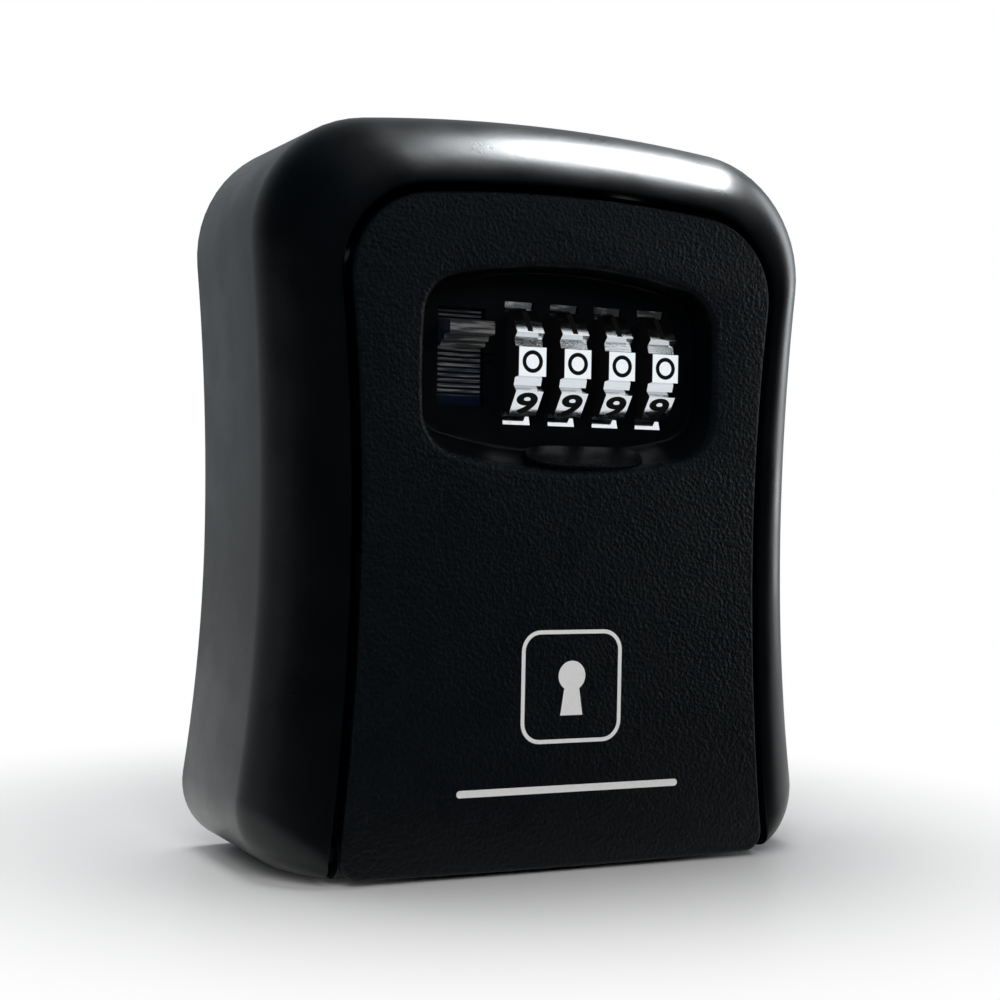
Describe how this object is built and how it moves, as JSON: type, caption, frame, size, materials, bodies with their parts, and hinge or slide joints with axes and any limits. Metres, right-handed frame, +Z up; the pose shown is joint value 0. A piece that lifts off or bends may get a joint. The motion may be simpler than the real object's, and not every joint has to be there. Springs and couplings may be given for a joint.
{
  "type": "key lock box",
  "caption": "Wall-mounted die-cast key lock box with a waisted case, a drop-down door, a recessed row of numbered dial wheels and an opening slider.",
  "frame": {"origin": "centre of the four wall screw holes, on the face that lies against the wall", "axes": "+Z up the wall, +X to the right as a person facing the box sees it, +Y into the wall; the door faces -Y"},
  "size_m": [0.0962, 0.04, 0.115],
  "materials": {
    "shell_paint": "satin black paint on die-cast zinc",
    "door_paint": "fine textured black powder coat, smooth in the dial recess",
    "wheel_chrome": "bright plated lands with black filled numerals and black sides",
    "slider_plastic": "moulded blue-black plastic with grey worn ribs",
    "cover_plastic": "moulded black plastic",
    "reset_plastic": "moulded off-white plastic",
    "zinc": "plain die-cast zinc alloy, matt",
    "latch_black": "phosphated black steel",
    "brass": "turned brass",
    "steel": "zinc plated steel",
    "spring_steel": "bright spring wire and strip"
  },
  "bodies": {
    "box": {"body_shell": "shell_paint", "key_hook": "steel", "hook_screws": "steel", "hinge_pins": "latch_black"},
    "door": {"door_panel": "door_paint", "inner_cover": "cover_plastic", "cover_screws": "steel", "detent_spring": "spring_steel", "detent_rivets": "steel", "latch_spring": "spring_steel", "shaft_spring": "spring_steel"},
    "latch": {"latch_plate": "latch_black", "open_slider": "slider_plastic"},
    "fence": {"fence_bar": "zinc"},
    "shaft": {"dial_shaft": "steel", "ring_spacers": "steel", "shaft_clips": "spring_steel", "reset_tab": "reset_plastic"},
    "dial_1": {"dial_wheel_1": "wheel_chrome"},
    "ring_1": {"gate_ring_1": "brass"},
    "dial_2": {"dial_wheel_2": "wheel_chrome"},
    "ring_2": {"gate_ring_2": "brass"},
    "dial_3": {"dial_wheel_3": "wheel_chrome"},
    "ring_3": {"gate_ring_3": "brass"},
    "dial_4": {"dial_wheel_4": "wheel_chrome"},
    "ring_4": {"gate_ring_4": "brass"}
  },
  "joints": [
    {"name": "door_hinge", "type": "hinge", "parent": "box", "child": "door", "pos_m": [0, -0.0358, -0.0533], "axis": [1, 0, 0], "range_deg": [0, 90]},
    {"name": "open_slide", "type": "slide", "parent": "door", "child": "latch", "axis": [0, 0, -1], "range_m": [0, 0.005], "stiffness_N_per_m": 150, "springref_m": -0.004, "deforming": ["latch_spring"]},
    {"name": "fence_slide", "type": "slide", "parent": "door", "child": "fence", "axis": [0, -1, 0], "range_m": [0, 0.002]},
    {"name": "reset_slide", "type": "slide", "parent": "door", "child": "shaft", "axis": [1, 0, 0], "range_m": [0, 0.0019], "stiffness_N_per_m": 200, "springref_m": -0.003, "deforming": ["shaft_spring"]},
    {"name": "dial_1_spin", "type": "hinge", "parent": "door", "child": "dial_1", "pos_m": [-0.0062, -0.0284, 0.01965], "axis": [1, 0, 0], "continuous": true, "deforming": ["detent_spring"]},
    {"name": "ring_1_spin", "type": "hinge", "parent": "shaft", "child": "ring_1", "pos_m": [-0.0062, -0.0284, 0.01965], "axis": [1, 0, 0], "continuous": true},
    {"name": "dial_2_spin", "type": "hinge", "parent": "door", "child": "dial_2", "pos_m": [0.00155, -0.0284, 0.01965], "axis": [1, 0, 0], "continuous": true, "deforming": ["detent_spring"]},
    {"name": "ring_2_spin", "type": "hinge", "parent": "shaft", "child": "ring_2", "pos_m": [0.00155, -0.0284, 0.01965], "axis": [1, 0, 0], "continuous": true},
    {"name": "dial_3_spin", "type": "hinge", "parent": "door", "child": "dial_3", "pos_m": [0.0093, -0.0284, 0.01965], "axis": [1, 0, 0], "continuous": true, "deforming": ["detent_spring"]},
    {"name": "ring_3_spin", "type": "hinge", "parent": "shaft", "child": "ring_3", "pos_m": [0.0093, -0.0284, 0.01965], "axis": [1, 0, 0], "continuous": true},
    {"name": "dial_4_spin", "type": "hinge", "parent": "door", "child": "dial_4", "pos_m": [0.01705, -0.0284, 0.01965], "axis": [1, 0, 0], "continuous": true, "deforming": ["detent_spring"]},
    {"name": "ring_4_spin", "type": "hinge", "parent": "shaft", "child": "ring_4", "pos_m": [0.01705, -0.0284, 0.01965], "axis": [1, 0, 0], "continuous": true}
  ],
  "couplings": [
    {"joint": "fence_slide", "follows": "open_slide", "ratio": 0.4},
    {"joint": "ring_1_spin", "follows": "dial_1_spin", "ratio": 1},
    {"joint": "ring_2_spin", "follows": "dial_2_spin", "ratio": 1},
    {"joint": "ring_3_spin", "follows": "dial_3_spin", "ratio": 1},
    {"joint": "ring_4_spin", "follows": "dial_4_spin", "ratio": 1}
  ]
}
